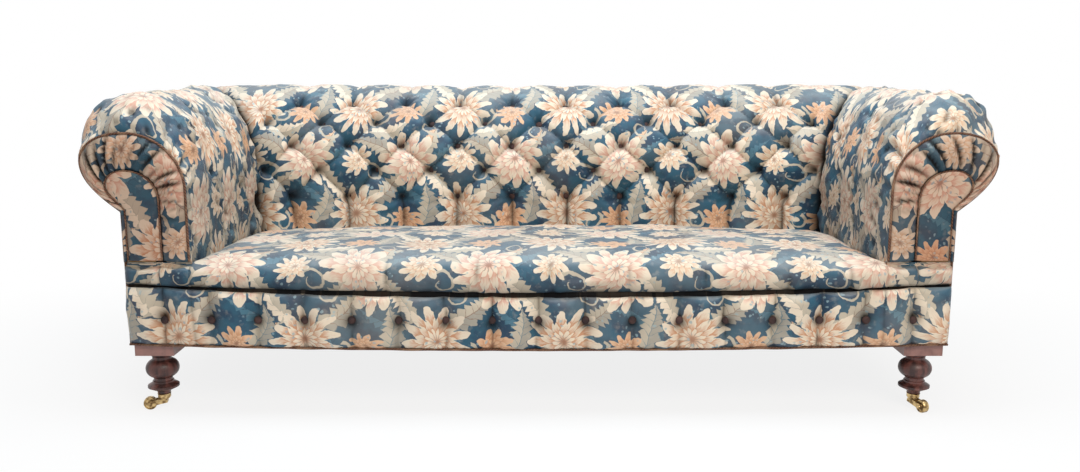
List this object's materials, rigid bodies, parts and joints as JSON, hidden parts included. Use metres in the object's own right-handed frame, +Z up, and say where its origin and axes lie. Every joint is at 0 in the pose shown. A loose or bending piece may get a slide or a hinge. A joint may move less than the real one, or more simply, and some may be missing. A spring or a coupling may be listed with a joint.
{
  "type": "chesterfield sofa",
  "caption": "Scroll-arm chesterfield sofa with a deep-buttoned back, sprung seat, buttoned front border and turned legs on swivelling brass castors.",
  "frame": {"origin": "on the floor under the middle of the sofa's overall box", "axes": "+X along the seat to the right of someone facing the sofa, +Y from the front to the back, +Z up; the front faces -Y"},
  "size_m": [2.23, 0.94, 0.776],
  "materials": {
    "frame_beech": "matte",
    "steel": "satin",
    "spring_wire": "satin",
    "jute": "matte",
    "printed_cotton": "matte",
    "trim_cord": "matte",
    "bottom_cloth": "matte",
    "leg_mahogany": "satin",
    "castor_brass": "satin",
    "wheel_brass": "satin"
  },
  "bodies": {
    "sofa": {"front_seat_rail": "frame_beech", "back_seat_rail": "frame_beech", "left_seat_rail": "frame_beech", "right_seat_rail": "frame_beech", "left_arm_stump": "frame_beech", "right_arm_stump": "frame_beech", "left_back_post": "frame_beech", "right_back_post": "frame_beech", "left_arm_top_rail": "frame_beech", "right_arm_top_rail": "frame_beech", "left_arm_scroll_rail": "frame_beech", "right_arm_scroll_rail": "frame_beech", "left_arm_tack_rail": "frame_beech", "right_arm_tack_rail": "frame_beech", "back_top_rail": "frame_beech", "back_scroll_rail": "frame_beech", "back_tack_rail": "frame_beech", "back_stays": "frame_beech", "corner_braces": "frame_beech", "brace_screws": "steel", "cross_webbing": "jute", "long_webbing": "jute", "spring_canvas": "jute", "seat_springs": "spring_wire", "seat_pad": "printed_cotton", "back_pad": "printed_cotton", "left_arm_pad": "printed_cotton", "right_arm_pad": "printed_cotton", "front_border_pad": "printed_cotton", "lip_end_pads": "printed_cotton", "left_arm_facing": "printed_cotton", "right_arm_facing": "printed_cotton", "left_front_panel": "printed_cotton", "right_front_panel": "printed_cotton", "back_buttons": "printed_cotton", "border_buttons": "printed_cotton", "outside_back": "printed_cotton", "left_outside_arm": "printed_cotton", "right_outside_arm": "printed_cotton", "facing_piping": "trim_cord", "base_gimp": "trim_cord", "bottom_cloth": "bottom_cloth", "front_left_leg": "leg_mahogany", "front_right_leg": "leg_mahogany", "rear_left_leg": "leg_mahogany", "rear_right_leg": "leg_mahogany", "castor_sockets": "castor_brass"},
    "front_left_castor": {"front_left_horn": "castor_brass", "front_left_axle": "steel"},
    "front_left_roller": {"front_left_wheel": "wheel_brass"},
    "front_right_castor": {"front_right_horn": "castor_brass", "front_right_axle": "steel"},
    "front_right_roller": {"front_right_wheel": "wheel_brass"},
    "rear_left_castor": {"rear_left_horn": "castor_brass", "rear_left_axle": "steel"},
    "rear_left_roller": {"rear_left_wheel": "wheel_brass"},
    "rear_right_castor": {"rear_right_horn": "castor_brass", "rear_right_axle": "steel"},
    "rear_right_roller": {"rear_right_wheel": "wheel_brass"}
  },
  "joints": [
    {"name": "front_left_swivel", "type": "hinge", "parent": "sofa", "child": "front_left_castor", "pos_m": [-0.935, -0.401, 0.022], "axis": [0, 0, 1], "continuous": true},
    {"name": "front_left_roll", "type": "hinge", "parent": "front_left_castor", "child": "front_left_roller", "pos_m": [-0.96826, -0.40807, 0.016], "axis": [0.2079, -0.9781, 0], "continuous": true},
    {"name": "front_right_swivel", "type": "hinge", "parent": "sofa", "child": "front_right_castor", "pos_m": [0.935, -0.401, 0.022], "axis": [0, 0, 1], "continuous": true},
    {"name": "front_right_roll", "type": "hinge", "parent": "front_right_castor", "child": "front_right_roller", "pos_m": [0.94774, -0.43252, 0.016], "axis": [0.9272, 0.3746, 0], "continuous": true},
    {"name": "rear_left_swivel", "type": "hinge", "parent": "sofa", "child": "rear_left_castor", "pos_m": [-0.935, 0.28, 0.022], "axis": [0, 0, 1], "continuous": true},
    {"name": "rear_left_roll", "type": "hinge", "parent": "rear_left_castor", "child": "rear_left_roller", "pos_m": [-0.95096, 0.31002, 0.016], "axis": [-0.8829, -0.4695, 0], "continuous": true},
    {"name": "rear_right_swivel", "type": "hinge", "parent": "sofa", "child": "rear_right_castor", "pos_m": [0.935, 0.28, 0.022], "axis": [0, 0, 1], "continuous": true},
    {"name": "rear_right_roll", "type": "hinge", "parent": "rear_right_castor", "child": "rear_right_roller", "pos_m": [0.96285, 0.2995, 0.016], "axis": [-0.5736, 0.8192, 0], "continuous": true}
  ]
}
